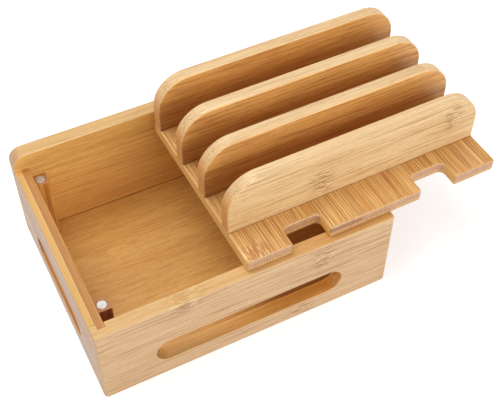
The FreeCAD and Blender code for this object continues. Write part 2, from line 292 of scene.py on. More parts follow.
def noise(tree, vector, detail, roughness):
    """A cloudy pattern that repeats about once per unit of the vector."""
    feeds = {"Vector": vector, "Scale": 1.0, "Detail": detail, "Roughness": roughness}
    return add(tree, "ShaderNodeTexNoise", feeds, noise_dimensions="3D").outputs[0]


def pattern(tree, name, vector):
    """One of the named cloudy patterns."""
    pace, detail, roughness = PATTERNS[name]
    return noise(tree, stretch(tree, vector, pace), detail, roughness)


def blend_colour(tree, share, below, above, blend="MIX"):
    """One colour over another, by a share."""
    feeds = {0: share, 6: below, 7: above}
    return add(tree, "ShaderNodeMix", feeds, data_type="RGBA", blend_type=blend).outputs[2]


def new_group(name, inputs, outputs):
    """An empty node group with named sockets; returns its tree, what comes in and what goes out."""
    tree = bpy.data.node_groups.new(name, "ShaderNodeTree")
    for label, kind in inputs.items():
        tree.interface.new_socket(label, in_out="INPUT", socket_type=f"NodeSocket{kind}")
    for label in outputs:
        tree.interface.new_socket(label, in_out="OUTPUT", socket_type="NodeSocketFloat")
    entry = tree.nodes.new("NodeGroupInput")
    outlet = tree.nodes.new("NodeGroupOutput")
    return tree, entry.outputs, outlet


def place_group(tree, group, feeds):
    """A group set into a material with its own values; returns its outputs."""
    return add(tree, "ShaderNodeGroup", feeds, node_tree=group).outputs


def deliver(tree, outlet, results):
    """Join results to a group's outputs."""
    for label, socket in results.items():
        tree.links.new(socket, outlet.inputs[label])


# Effects that the finishes share. Their vectors run along the grain, across the strips and through the plies.

# Each cloudy pattern's repeats per metre along the three, its detail and its roughness
PATTERNS = {
    "fibre": ((12.0, 330.0, 330.0), 4.0, 0.7),
    "drift": ((5.0, 55.0, 55.0), 2.0, 0.5),
    "hair": ((14.0, 430.0, 430.0), 2.0, 0.6),
    "fleck": ((110.0, 1300.0, 1300.0), 1.0, 0.5),
    "knuckle_waver": ((35.0, 260.0, 260.0), 2.0, 0.5),
    "knuckle_stroke": ((95.0, 600.0, 600.0), 1.0, 0.5),
    "bundle_patch": ((160.0, 260.0, 260.0), 1.0, 0.5),
    "scuff": ((2600.0, 500.0, 500.0), 3.0, 0.6),
    "haze": ((420.0, 420.0, 420.0), 2.0, 0.5),
    "paper": ((900.0, 900.0, 900.0), 3.0, 0.5),
}
# The middle of a pattern, and the ranges that patterns are eased over to
MIDDLE = 0.5
EITHER_WAY = (-0.5, 0.5)
FADING = (1.0, 0.0)

# Between which limits a pattern comes in
FIBRE_LIMITS = (0.28, 0.72)
DRIFT_LIMITS = (0.25, 0.75)
HAIR_LIMITS = (0.51, 0.6)
FLECK_LIMITS = (0.6, 0.74)
GLUE_LINE_LIMITS = (0.3, 1.0)
KNUCKLE_LIMITS = (0.45, 1.15)
KNUCKLE_DEPTH_LIMITS = (0.8, 1.2)
STROKE_LIMITS = (0.51, 0.56)
GLINT_LIMITS = (0.38, 0.46)
RING_LIMITS = (0.2, 0.9)
RING_BREAK_LIMITS = (0.36, 0.5)
BUNDLE_LIMITS = (0.15, 0.6)
PATCH_LIMITS = (0.35, 0.65)
JOINT_LIMITS = (0.35, 1.0)
SCUFF_LIMITS = (0.4, 0.7)
HAZE_LIMITS = (0.3, 0.7)

# How strips, knuckles and fibre bundles are drawn
STRIP_WAVER_PACE = 110.0
STRIP_SHIFT = 3.7
FAINTEST_GLUE_LINE = 0.25
KNUCKLE_WAVER = 1.6
RING_PACE = 20.0
BUNDLE_PACE = (420.0, 680.0, 680.0)
FAINTEST_PATCH = 0.3

# How far a face has to look one way, from 0 to 1, to count as looking that way
END_SLOPE = (0.1, 0.7)
SQUARE_END_SLOPE = (0.75, 1.0)
SAWN_SLOPE = (0.3, 0.8)
BROAD_SLOPE = (0.4, 0.9)
TOP_SLOPE = (0.6, 0.95)
SKY_SLOPE = (0.3, 0.7)


def glue_line(tree, count, width, line_width):
    """The line between two strips or plies, where their count reaches a whole number."""
    place = calc(tree, "FRACT", count)
    to_edge = calc(tree, "MINIMUM", place, calc(tree, "SUBTRACT", 1.0, place))
    to_edge = calc(tree, "DIVIDE", together(tree, to_edge, width), line_width)
    return spread(tree, to_edge, *GLUE_LINE_LIMITS, *FADING)


def make_bamboo_grain():
    """Long fibres, slow drift of tone, and glued strips that each have a tone of their own."""
    inputs = {"Vector": "Vector"}
    for label in (
        "Shortness", "Fineness", "Strip Width", "Unevenness", "Ply", "Sawn Side", "Line Width",
        "Strip Variety", "Fibre Strength", "Drift Strength",
    ):
        inputs[label] = "Float"
    tree, given, outlet = new_group("bamboo_grain", inputs, ("Tone", "Line", "Hair", "Fleck", "Upper Ply"))
    parts = split(tree, given["Vector"])
    depth = calc(tree, "DIVIDE", parts[2], given["Ply"])
    layer = calc(tree, "FLOOR", depth)

    beside = join(tree, {1: together(tree, parts[1], STRIP_WAVER_PACE), 2: layer})
    waver = calc(tree, "SUBTRACT", noise(tree, beside, detail=0.0, roughness=0.5), MIDDLE)
    waver = together(tree, waver, given["Unevenness"])
    row = calc(tree, "DIVIDE", calc(tree, "ADD", parts[1], waver), given["Strip Width"])
    strip = join(tree, {0: calc(tree, "FLOOR", row), 1: layer})
    chance = add(tree, "ShaderNodeTexWhiteNoise", {"Vector": strip}, noise_dimensions="3D").outputs
    strip_tone = chance["Value"]

    line_chance = split(tree, chance["Color"])[1]
    line_depth = calc(tree, "MULTIPLY_ADD", line_chance, 1.0 - FAINTEST_GLUE_LINE, FAINTEST_GLUE_LINE)
    line = glue_line(tree, row, given["Strip Width"], given["Line Width"])
    between_plies = glue_line(tree, depth, given["Ply"], given["Line Width"])
    between_plies = together(tree, between_plies, given["Sawn Side"])
    line = calc(tree, "MAXIMUM", together(tree, line, line_depth), between_plies)

    start = join(tree, {0: together(tree, strip_tone, STRIP_SHIFT)})
    shifted = add(tree, "ShaderNodeVectorMath", {0: given["Vector"], 1: start}, operation="ADD").outputs[0]
    pace = join(tree, {0: given["Shortness"], 1: given["Fineness"], 2: given["Fineness"]})
    shifted = stretch(tree, shifted, pace)
    fibre = spread(tree, pattern(tree, "fibre", shifted), *FIBRE_LIMITS, *EITHER_WAY)
    drift = spread(tree, pattern(tree, "drift", shifted), *DRIFT_LIMITS, *EITHER_WAY)
    variety = calc(tree, "SUBTRACT", strip_tone, MIDDLE)
    tone = calc(tree, "MULTIPLY_ADD", fibre, given["Fibre Strength"], MIDDLE)
    tone = calc(tree, "MULTIPLY_ADD", drift, given["Drift Strength"], tone)
    tone = calc(tree, "MULTIPLY_ADD", variety, given["Strip Variety"], tone)
    deliver(tree, outlet, {
        "Tone": calc(tree, "MAXIMUM", calc(tree, "MINIMUM", tone, 1.0), 0.0),
        "Line": line,
        "Hair": spread(tree, pattern(tree, "hair", shifted), *HAIR_LIMITS),
        "Fleck": spread(tree, pattern(tree, "fleck", shifted), *FLECK_LIMITS),
        "Upper Ply": calc(tree, "FLOORED_MODULO", layer, 2.0),
    })
    return tree


def make_bamboo_knuckle():
    """The mark that a joint of the cane leaves: short strokes, and growth rings bent round the middle."""
    inputs = {"Vector": "Vector", "Centre": "Vector", "Reach": "Float", "Spread": "Float", "Depth": "Float"}
    tree, given, outlet = new_group("bamboo_knuckle", inputs, ("Stroke", "Glint"))
    away = add(tree, "ShaderNodeVectorMath", {0: given["Vector"], 1: given["Centre"]}, operation="SUBTRACT")
    parts = split(tree, away.outputs[0])
    waver = calc(tree, "SUBTRACT", pattern(tree, "knuckle_waver", given["Vector"]), MIDDLE)
    waver = together(tree, waver, given["Reach"])
    along = calc(tree, "MULTIPLY_ADD", waver, KNUCKLE_WAVER, parts[0])
    along = calc(tree, "DIVIDE", along, given["Reach"])
    across = calc(tree, "DIVIDE", parts[1], given["Spread"])
    through = calc(tree, "DIVIDE", calc(tree, "ABSOLUTE", parts[2]), given["Depth"])
    squares = calc(tree, "ADD", together(tree, along, along), together(tree, across, across))
    far = calc(tree, "SQRT", squares)
    near = spread(tree, far, *KNUCKLE_LIMITS, *FADING)
    near = together(tree, near, spread(tree, through, *KNUCKLE_DEPTH_LIMITS, *FADING))
    strokes = pattern(tree, "knuckle_stroke", given["Vector"])
    rings = calc(tree, "SINE", together(tree, far, RING_PACE))
    ring = together(tree, spread(tree, rings, *RING_LIMITS), spread(tree, strokes, *RING_BREAK_LIMITS))
    stroke = calc(tree, "MAXIMUM", spread(tree, strokes, *STROKE_LIMITS), ring)
    glint = spread(tree, strokes, *GLINT_LIMITS, *FADING)
    deliver(tree, outlet, {"Stroke": together(tree, near, stroke), "Glint": together(tree, near, glint)})
    return tree


def make_end_grain():
    """Where the surface cuts across the fibres, and the pin-prick ends of the fibre bundles there."""
    tree, given, outlet = new_group("end_grain", {"Vector": "Vector", "Facing": "Float"}, ("Mask", "Speckle"))
    place = stretch(tree, given["Vector"], BUNDLE_PACE)
    bundles = add(tree, "ShaderNodeTexVoronoi", {"Vector": place, "Scale": 1.0})
    dots = spread(tree, bundles.outputs["Distance"], *BUNDLE_LIMITS, *FADING)
    patchy = pattern(tree, "bundle_patch", given["Vector"])
    patchy = spread(tree, patchy, *PATCH_LIMITS, FAINTEST_PATCH, 1.0)
    mask = spread(tree, given["Facing"], *END_SLOPE)
    deliver(tree, outlet, {"Mask": mask, "Speckle": together(tree, dots, patchy)})
    return tree


def make_eased_edge():
    """Strongest where the surface is halfway round an edge: the squared sine of twice its slope."""
    tree, given, outlet = new_group("eased_edge", {"Facing": "Float"}, ("Mask",))
    rest = calc(tree, "SUBTRACT", 1.0, together(tree, given["Facing"], given["Facing"]))
    rest = calc(tree, "SQRT", calc(tree, "MAXIMUM", rest, 0.0))
    roll = together(tree, given["Facing"], rest, 2.0)
    deliver(tree, outlet, {"Mask": calc(tree, "POWER", roll, 2.0)})
    return tree


def make_joint_line():
    """The dark line where two boards meet, at a place along one axis."""
    inputs = {"Coordinate": "Float", "Place": "Float", "Half Width": "Float"}
    tree, given, outlet = new_group("joint_line", inputs, ("Mask",))
    away = calc(tree, "ABSOLUTE", calc(tree, "SUBTRACT", given["Coordinate"], given["Place"]))
    away = calc(tree, "DIVIDE", away, given["Half Width"])
    deliver(tree, outlet, {"Mask": spread(tree, away, *JOINT_LIMITS, *FADING)})
    return tree


def make_stretch_of_board():
    """1 between two places along an axis, and 0 beyond them."""
    inputs = {"Coordinate": "Float", "From": "Float", "To": "Float"}
    tree, given, outlet = new_group("stretch_of_board", inputs, ("Mask",))
    after = calc(tree, "GREATER_THAN", given["Coordinate"], given["From"])
    before = calc(tree, "LESS_THAN", given["Coordinate"], given["To"])
    deliver(tree, outlet, {"Mask": together(tree, after, before)})
    return tree


def make_metal_scuffs():
    """Fine rubbing marks and a faint haze on plated metal."""
    tree, given, outlet = new_group("metal_scuffs", {"Vector": "Vector"}, ("Scuff", "Haze"))
    scuff = spread(tree, pattern(tree, "scuff", given["Vector"]), *SCUFF_LIMITS)
    haze = spread(tree, pattern(tree, "haze", given["Vector"]), *HAZE_LIMITS)
    deliver(tree, outlet, {"Scuff": scuff, "Haze": haze})
    return tree


BAMBOO_GRAIN = make_bamboo_grain()
BAMBOO_KNUCKLE = make_bamboo_knuckle()
END_GRAIN = make_end_grain()
EASED_EDGE = make_eased_edge()
JOINT_LINE = make_joint_line()
STRETCH_OF_BOARD = make_stretch_of_board()
METAL_SCUFFS = make_metal_scuffs()


def shade(red, green, blue):
    """A colour as it looks on a screen, from 0 to 255, as the shader takes it."""
    def linear(channel):
        share = channel / 255
        return share / 12.92 if share <= 0.04045 else ((share + 0.055) / 1.055) ** 2.4
    return linear(red), linear(green), linear(blue), 1.0


def divider_feet():
    """Where the faces of the dividers stand on the plate, from its front edge."""
    front = lid_box("lid_plate")[0].y
    return [(Y, (corner.y - front) / MM) for node in DIVIDERS for corner in lid_box(node)]


# Marks that all the boards share
KNUCKLE_COLOUR = shade(154, 98, 52)
GLINT_COLOUR = shade(248, 220, 164)
HAIR_COLOUR = shade(164, 102, 54)
FLECK_COLOUR = shade(172, 116, 68)
SEAM_COLOUR = shade(138, 78, 34)
SPECKLE_COLOUR = shade(146, 98, 60)
JOINT_COLOUR = shade(128, 60, 6)
# Painted shade that reaches up from the feet of the dividers
FOOT_SHADE_COLOUR = shade(118, 48, 6)
DARK_STRIP_COLOUR = shade(160, 112, 90)
# Painted shade under the lid, darker and more golden, on the front panel's top
LID_SHADE_TINT = (0.87, 0.72, 0.5, 1.0)
FLECK_STRENGTH = 0.6
GLINT_STRENGTH = 0.6
STROKE_STRENGTH = 0.8
DARK_STRIP_STRENGTH = 0.85
END_SEAM_STRENGTH = 0.4
END_STRENGTH = 0.85
# Partly wear, partly painted highlight on rounded edges
EDGE_WEAR_AND_HIGHLIGHT_STRENGTH = 0.35
FOOT_STRENGTH = 0.65
# How strong the painted shade at the dividers' feet is
FOOT_SHADE_STRENGTH = 0.5
JOINT_HALF_WIDTH = 0.7

# The lacquer and the relief under it
LACQUER_IOR = 1.45
LACQUER_ROUGHNESS = (0.52, 0.4)
BAMBOO_RELIEF = {"Strength": 0.25, "Distance": 0.15 * MM}
METAL_RELIEF = {"Strength": 0.1, "Distance": 0.05 * MM}

# What each board's bamboo looks like. Lengths are in millimetres.
# Places are measured along the box's axes, from the low corner of the origin's node.
# Axes are the box's axes along the grain, across the strips and through the plies.
# Strip is a strip's width, unevenness how far it strays, ply a layer's thickness and line the glue's width.
# Variety, fibre and drift are how far strips, fibres and slow drift move the tone between dark and light.
# Top, end and edge are the colours of top faces, end grain and eased edges; the edge colour is partly rubbed
# wood and partly painted highlight. The upper end is the end grain of every second ply, and the flat end
# shade is painted shade on the part of an end that is cut square.
# Broad faces between the two inner places take the inside tint, which is painted shade: it warms and deepens
# the faces inside the box, under the plate and between the dividers. Inside hair is their share of hair.
# The slot is where its walls are along and across the grain, with a tint for each of its two ends: painted
# shade and light on the slot's walls.
# The lid shade top is painted shade on the front panel's top, darker and more golden under the lid: where
# along the board it starts, where it is full, and how thick the board is.
# A dark strip is where it shows in the end grain, across the board and through it.
# Feet are joints on inside faces, with painted shade reaching up from them, and seams are joints on top
# faces.
# Each of them is an axis of the box and a place.
# A knuckle is its middle, its reach along the grain, and its half widths across it and into the board.

PLAIN = {
    "shortness": 1.0, "fineness": 1.0, "unevenness": 0.0, "ply": 4.0, "line": 0.3,
    "variety": 0.2, "fibre": 0.5, "drift": 0.3,
    "line_strength": 0.15, "hair_strength": 0.3, "speckle_strength": 0.6, "top_share": 0.45,
    "upper_end": None, "flat_end_shade": None, "edge": None,
    "inner": (1000.0, 1000.0), "inside": (1.0, 0.86, 0.55, 1.0), "inside_hair": 1.0,
    "slot": None, "slot_shade_tints": None, "lid_shade_top": None, "dark_strip": None,
    "feet": [], "foot_shade": 0.0, "seams": [], "seam_strength": 0.3,
    "knuckles": [], "knuckle_colour": KNUCKLE_COLOUR, "knuckle_strength": 1.0,
}
BAMBOO = {
    "panel_bamboo": {
        "axes": (X, Z, Y), "origin": "front_panel", "strip": 20.3, "fineness": 1.35,
        "drift": 0.22, "hair_strength": 0.44,
        "dark": shade(204, 157, 112), "light": shade(234, 201, 154),
        "top": shade(226, 180, 100), "end": shade(206, 164, 118),
        "inner": (6.0, 185.0), "inside": (1.22, 1.08, 0.57, 1.0), "inside_hair": 0.7,
        "slot": (40.0, 210.0, 16.0, 41.0), "slot_shade_tints": ((0.82, 0.7, 0.5, 1.0), (1.34, 1.12, 0.68, 1.0)),
        "lid_shade_top": (70.0, 240.0, 13.0), "feet": [(Z, 5.2)],
        "knuckles": [((73, 79, 4.5), 17, 13, 14), ((186, 66, 0), 12, 16, 4), ((170, 8.5, 0), 12, 8, 4)],
        "knuckle_strength": 0.7,
    },
    "outer_ply_bamboo": {
        "axes": (Y, Z, X), "origin": "left_side_outer_ply", "strip": 20.3, "ply": 2.0, "line": 0.5,
        "variety": 0.5, "line_strength": 0.4, "hair_strength": 0.45,
        "dark": shade(188, 146, 115), "light": shade(218, 188, 160),
        "top": shade(232, 176, 70), "top_share": 0.65, "end": shade(200, 160, 116),
        "slot": (28.0, 140.0, 16.0, 41.0), "slot_shade_tints": ((0.9, 0.66, 0.34, 1.0), (0.9, 0.66, 0.34, 1.0)),
        "seams": [(X, 6.0), (X, 244.0)],
    },
    "inner_ply_bamboo": {
        "axes": (Y, Z, X), "origin": "left_side_inner_ply", "strip": 20.3, "ply": 2.0, "line": 0.5,
        "variety": 0.4, "line_strength": 0.5, "hair_strength": 0.6,
        "dark": shade(190, 132, 66), "light": shade(222, 174, 104),
        "top": shade(186, 124, 56), "top_share": 0.7, "end": shade(192, 134, 66),
        "inner": (-1.0, 240.0), "inside": (1.0, 0.92, 0.75, 1.0),
        "feet": [(Z, 0.2)], "seams": [(X, 0.0), (X, 238.0)],
    },
    "base_bamboo": {
        "axes": (X, Y, Z), "origin": "base_board", "strip": 20.3, "shortness": 2.8, "fineness": 1.4,
        "fibre": 0.45, "drift": 0.35, "hair_strength": 0.27,
        "dark": shade(210, 158, 84), "light": shade(234, 192, 120),
        "top": shade(220, 174, 106), "end": shade(196, 146, 88),
        "inner": (2.0, 10.0), "inside": (0.97, 0.87, 0.67, 1.0),
        "feet": [(X, 6.0), (X, 232.0), (Y, 5.0), (Y, 171.5)],
    },
    "post_bamboo": {
        "axes": (Z, X, Y), "origin": "front_left_post", "strip": 3.2, "ply": 3.2,
        "variety": 0.5, "line_strength": 0.6, "hair_strength": 0.6,
        "dark": shade(198, 126, 52), "light": shade(240, 182, 92),
        "top": shade(206, 154, 86), "end": shade(182, 124, 74),
        # The posts' inside tint is painted shade on the front posts' faces that look towards the front panel.
        "inner": (-1.0, 5.0), "inside": (0.47, 0.36, 1.0, 1.0),
    },
    "plate_bamboo": {
        "axes": (Y, X, Z), "origin": "lid_plate", "strip": 2.1, "unevenness": 3.0, "ply": 5.4, "line": 0.5,
        "fineness": 1.5, "variety": 0.3, "fibre": 0.55, "line_strength": 0.8, "hair_strength": 0.6,
        "dark": shade(206, 136, 58), "light": shade(250, 210, 138),
        "top": shade(252, 206, 126), "top_share": 0.75,
        "end": shade(222, 178, 126), "upper_end": shade(208, 164, 132), "dark_strip": (71.0, 99.0, 5.4, 9.6),
        "inner": (-1.0, 5.0), "inside": (1.0, 0.84, 0.6, 1.0),
        "seams": divider_feet(), "seam_strength": 0.8,
        "knuckles": [((7, 11, 10.8), 10, 14, 4)], "knuckle_colour": shade(182, 120, 66),
    },
    "divider_bamboo": {
        "axes": (X, Z, Y), "origin": "front_divider", "strip": 24.0, "ply": 3.8, "fineness": 1.4,
        "fibre": 0.6, "drift": 0.18, "hair_strength": 0.42,
        "dark": shade(222, 174, 110), "light": shade(250, 222, 172),
        # The dividers' edge colour is partly wear, partly painted highlight.
        "top": shade(244, 214, 168), "top_share": 0.3, "edge": shade(252, 206, 138),
        # The flat end shade is painted shade on the dividers' square-cut ends.
        "end": shade(236, 196, 142), "flat_end_shade": shade(238, 172, 98),
        "inner": (2.0, 132.0), "inside": (1.04, 0.83, 0.49, 1.0), "inside_hair": 1.15,
        "feet": [(Z, 0.0)], "foot_shade": 36.0,
        "knuckles": [((201, 31, 0), 10, 16, 4), ((80.5, 16.0, 0), 13, 15, 4)], "knuckle_strength": 0.75,
    },
}
LID_SLOTS = ("plate_bamboo", "divider_bamboo")


def new_finish(name):
    """A new material; returns it with its nodes and its shader."""
    finish = bpy.data.materials.new(name)
    finish.use_nodes = True
    return finish, finish.node_tree, finish.node_tree.nodes["Principled BSDF"]


class BambooBoard:
    """The bamboo of one kind of board, while its finish is laid on coat by coat."""

    def __init__(self, slot, board):
        """Find where each point is on the board and which way its face looks."""
        self.look = {**PLAIN, **board}
        self.finish, self.tree, self.shader = new_finish(slot)
        seen = add(self.tree, "ShaderNodeTexCoord").outputs
        on_lid = slot in LID_SLOTS
        origin = lid_box(self.look["origin"])[0] if on_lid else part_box(self.look["origin"])[0]
        turn = (0.0, 0.0, -LID_TURN if on_lid else 0.0)
        setting = {"Vector": seen["Object"], "Location": -origin, "Rotation": turn}
        self.sides = split(self.tree, add(self.tree, "ShaderNodeMapping", setting).outputs[0])
        facings = split(self.tree, seen["Normal"])
        self.along, self.across, self.through = self.look["axes"]
        axes = enumerate(self.look["axes"])
        self.vector = join(self.tree, {place: self.sides[axis] for place, axis in axes})
        self.facing_end = calc(self.tree, "ABSOLUTE", facings[self.along])
        self.facing_up = calc(self.tree, "ABSOLUTE", facings[self.across])
        self.facing_out = calc(self.tree, "ABSOLUTE", facings[self.through])
        self.facing_sky = spread(self.tree, facings[Z], *SKY_SLOPE)
        self.sawn = spread(self.tree, self.facing_out, *SAWN_SLOPE, *FADING)
        broad = spread(self.tree, self.facing_out, *BROAD_SLOPE)
        self.inside = together(self.tree, broad, self.between(self.through, *self.look["inner"]))
        self.slot_wall = None

    def between(self, axis, low, high):
        """1 between two places along an axis of the box."""
        places = {"Coordinate": self.sides[axis], "From": low * MM, "To": high * MM}
        return place_group(self.tree, STRETCH_OF_BOARD, places)["Mask"]

    def paint(self, mask, strength, tint, blend="MIX"):
        """Lay a colour over what is there."""
        share = together(self.tree, mask, strength)
        self.colour = blend_colour(self.tree, share, self.colour, tint, blend)

    def sink(self, mask):
        """Lower the surface where a mark is."""
        self.height = calc(self.tree, "SUBTRACT", self.height, mask)

    def lay_grain(self):
        """The strips with their fibres, hairs, flecks and glue lines."""
        look = self.look
        self.grain = place_group(self.tree, BAMBOO_GRAIN, {
            "Vector": self.vector, "Shortness": look["shortness"], "Fineness": look["fineness"],
            "Strip Width": look["strip"] * MM, "Unevenness": look["unevenness"] * MM, "Ply": look["ply"] * MM,
            "Sawn Side": self.sawn, "Line Width": look["line"] * MM, "Strip Variety": look["variety"],
            "Fibre Strength": look["fibre"], "Drift Strength": look["drift"],
        })
        self.colour = blend_colour(self.tree, self.grain["Tone"], look["dark"], look["light"])
        extra_hair = look["hair_strength"] * (look["inside_hair"] - 1.0)
        hair_strength = calc(self.tree, "MULTIPLY_ADD", self.inside, extra_hair, look["hair_strength"])
        self.paint(self.grain["Hair"], hair_strength, HAIR_COLOUR)
        self.paint(self.grain["Fleck"], FLECK_STRENGTH, FLECK_COLOUR)
        self.paint(self.grain["Line"], look["line_strength"], SEAM_COLOUR)
        self.height = self.grain["Tone"]
        self.sink(calc(self.tree, "MAXIMUM", self.grain["Line"], self.grain["Hair"]))

    def mark_knuckles(self):
        """Strokes and glints where the cane had its joints."""
        strength = self.look["knuckle_strength"]
        for centre, reach, half_width, depth in self.look["knuckles"]:
            knuckle = place_group(self.tree, BAMBOO_KNUCKLE, {
                "Vector": self.vector, "Centre": [part * MM for part in centre],
                "Reach": reach * MM, "Spread": half_width * MM, "Depth": depth * MM,
            })
            self.paint(knuckle["Glint"], GLINT_STRENGTH * strength, GLINT_COLOUR)
            self.paint(knuckle["Stroke"], STROKE_STRENGTH * strength, self.look["knuckle_colour"])
            self.sink(knuckle["Stroke"])

    def tint_top(self):
        """The tone of the top face, with painted shade, darker and more golden, under the lid towards one end
        of the front panel.
        """
        top = spread(self.tree, self.facing_up, *TOP_SLOPE)
        self.paint(top, self.look["top_share"], self.look["top"])
        if self.look["lid_shade_top"]:
            near, far, thickness = self.look["lid_shade_top"]
            on_panel = self.between(self.through, -1.0, thickness)
            # Painted shade under the lid
            lid_shade = spread(self.tree, self.sides[self.along], near * MM, far * MM)
            self.paint(together(self.tree, lid_shade, top), on_panel, LID_SHADE_TINT, "MULTIPLY")

    def paint_slot_shade(self):
        """Painted shade and light on the walls of the cable slot, from the tint of one end to that of the
        other.
        """
        if self.look["slot"]:
            start, end, low, high = self.look["slot"]
            beside = together(self.tree, self.sawn, self.between(self.along, start, end))
            self.slot_wall = together(self.tree, beside, self.between(self.across, low, high))
            far = spread(self.tree, self.sides[self.along], start * MM, end * MM)
            tint = blend_colour(self.tree, far, *self.look["slot_shade_tints"])
            self.paint(self.slot_wall, 1.0, tint, "MULTIPLY")

    def show_end_grain(self):
        """The sawn ends of the fibres, with pin-pricks, glue lines and a darker strip."""
        tree, look = self.tree, self.look
        end = place_group(tree, END_GRAIN, {"Vector": self.vector, "Facing": self.facing_end})
        colour = blend_colour(tree, self.grain["Upper Ply"], look["end"], look["upper_end"] or look["end"])
        # Painted shade: square-cut ends get a darker, warmer colour than the rounded parts of the ends.
        if look["flat_end_shade"]:
            square = spread(tree, self.facing_end, *SQUARE_END_SLOPE)
            colour = blend_colour(tree, square, colour, look["flat_end_shade"])
        if look["dark_strip"]:
            left, right, low, high = look["dark_strip"]
            strip = together(tree, self.between(self.across, left, right), DARK_STRIP_STRENGTH)
            strip = together(tree, strip, self.between(self.through, low, high))
            colour = blend_colour(tree, strip, colour, DARK_STRIP_COLOUR)
        seam = together(tree, self.grain["Line"], END_SEAM_STRENGTH)
        colour = blend_colour(tree, seam, colour, SEAM_COLOUR)
        pricked = together(tree, end["Speckle"], look["speckle_strength"])
        colour = blend_colour(tree, pricked, colour, SPECKLE_COLOUR)
        shown = end["Mask"]
        if self.slot_wall is not None:
            shown = together(tree, shown, calc(tree, "SUBTRACT", 1.0, self.slot_wall))
        self.paint(shown, END_STRENGTH, colour)

    def paint_edge_wear_and_highlight(self):
        """Paler colour where an edge is rounded: partly rubbed wood, partly painted highlight."""
        edge = place_group(self.tree, EASED_EDGE, {"Facing": self.facing_out})["Mask"]
        self.paint(edge, EDGE_WEAR_AND_HIGHLIGHT_STRENGTH, self.look["edge"] or self.look["light"])

    def near_joint(self, axis, place, half_width, facing):
        """A band along a joint, on the faces that look one way."""
        places = {"Coordinate": self.sides[axis], "Place": place * MM, "Half Width": half_width * MM}
        return together(self.tree, place_group(self.tree, JOINT_LINE, places)["Mask"], facing)

    def draw_joints(self):
        """The lines at the board's feet and seams, and painted shade over its feet."""
        look = self.look
        for axis, place in look["feet"]:
            foot = self.near_joint(axis, place, JOINT_HALF_WIDTH, self.inside)
            self.paint(foot, FOOT_STRENGTH, JOINT_COLOUR)
            self.sink(foot)
            # Painted shade, darker towards the feet of the dividers between them.
            if look["foot_shade"]:
                foot_shade = self.near_joint(axis, place, look["foot_shade"], self.inside)
                self.paint(foot_shade, FOOT_SHADE_STRENGTH, FOOT_SHADE_COLOUR)
        for axis, place in look["seams"]:
            seam = self.near_joint(axis, place, JOINT_HALF_WIDTH, self.facing_sky)
            self.paint(seam, look["seam_strength"], JOINT_COLOUR)
            self.sink(seam)

    def lacquer(self):
        """Satin lacquer over it all."""
        roughness = spread(self.tree, self.grain["Tone"], 0.0, 1.0, *LACQUER_ROUGHNESS)
        relief = add(self.tree, "ShaderNodeBump", {"Height": self.height, **BAMBOO_RELIEF}).outputs[0]
        self.tree.links.new(self.colour, self.shader.inputs["Base Color"])
        self.tree.links.new(roughness, self.shader.inputs["Roughness"])
        self.tree.links.new(relief, self.shader.inputs["Normal"])
        self.shader.inputs["IOR"].default_value = LACQUER_IOR


def bamboo_finish(slot, board):
    """Satin lacquered bamboo for one kind of board."""
    bamboo = BambooBoard(slot, board)
    bamboo.lay_grain()
    bamboo.mark_knuckles()
    bamboo.tint_top()
    bamboo.paint_slot_shade()
    # Painted shade: the inside tint warms and deepens the faces inside the box, under the plate and between
    # the dividers.
    bamboo.paint(bamboo.inside, 1.0, bamboo.look["inside"], "MULTIPLY")
    bamboo.show_end_grain()
    bamboo.paint_edge_wear_and_highlight()
    bamboo.draw_joints()
    bamboo.lacquer()
    return bamboo.finish


def metal_finish(slot, bright, dull, metallic, smooth, worn):
    """Plated metal with fine rubbing marks."""
    finish, tree, shader = new_finish(slot)
    place = add(tree, "ShaderNodeTexCoord").outputs["Object"]
    marks = place_group(tree, METAL_SCUFFS, {"Vector": place})
    relief = add(tree, "ShaderNodeBump", {"Height": marks["Scuff"], **METAL_RELIEF}).outputs[0]
    tree.links.new(blend_colour(tree, marks["Haze"], bright, dull), shader.inputs["Base Color"])
    tree.links.new(spread(tree, marks["Scuff"], 0.0, 1.0, smooth, worn), shader.inputs["Roughness"])
    tree.links.new(relief, shader.inputs["Normal"])
    shader.inputs["Metallic"].default_value = metallic
    return finish


FINISHES = {slot: bamboo_finish(slot, board) for slot, board in BAMBOO.items()}
FINISHES["magnet"] = metal_finish(
    "magnet", bright=shade(204, 201, 194), dull=shade(184, 180, 173), metallic=0.45, smooth=0.4, worn=0.55
)
FINISHES["screw"] = metal_finish(
    "screw", bright=shade(186, 182, 174), dull=shade(150, 146, 140), metallic=1.0, smooth=0.3, worn=0.5
)


# The boards of the box


def cut_joints(panel):
    """Cut the grooves that take the inner plies and the rabbet that takes the base board."""
    for node in ("left_side_inner_ply", "right_side_inner_ply", "base_board"):
        low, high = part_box(node)
        if node == "base_board":
            low.z -= OVERRUN
        elif corners_of(panel)[1].z < high.z + NEAR:
            high.z += OVERRUN
        cut_out(panel, block("joint_cutter", low, high))


def front_panel():
    """The front board, with the long cable slot."""
    low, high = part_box("front_panel")
    panel = block("front_panel_wood", low, high)
    saw_cable_slot(panel, Y, FRONT_SLOT_MARGIN)

    def on_slot(start, end):
        on_face = lies_on(start, end, Y, low.y) or lies_on(start, end, Y, high.y)
        return on_face and inside(start, end, X, low, high) and inside(start, end, Z, low, high)

    def on_rim(start, end):
        inner = lies_on(start, end, Y, high.y)
        return lies_on(start, end, Z, high.z) and not inner

    round_edges(panel, INNER_EDGE, EDGE_STEPS, on_slot)
    round_edges(
        panel, FRONT_CORNER, CORNER_STEPS,
        lambda start, end: runs_along(start, end, Z) and lies_on(start, end, Y, low.y),
    )
    round_edges(panel, OUTER_EDGE, EDGE_STEPS, on_rim)
    cut_joints(panel)
    round_edges(
        panel, INNER_EDGE, EDGE_STEPS,
        lambda start, end: lies_on(start, end, Z, high.z) and lies_on(start, end, Y, high.y),
    )
    hand_over(panel, "front_panel", "box", "panel_bamboo")


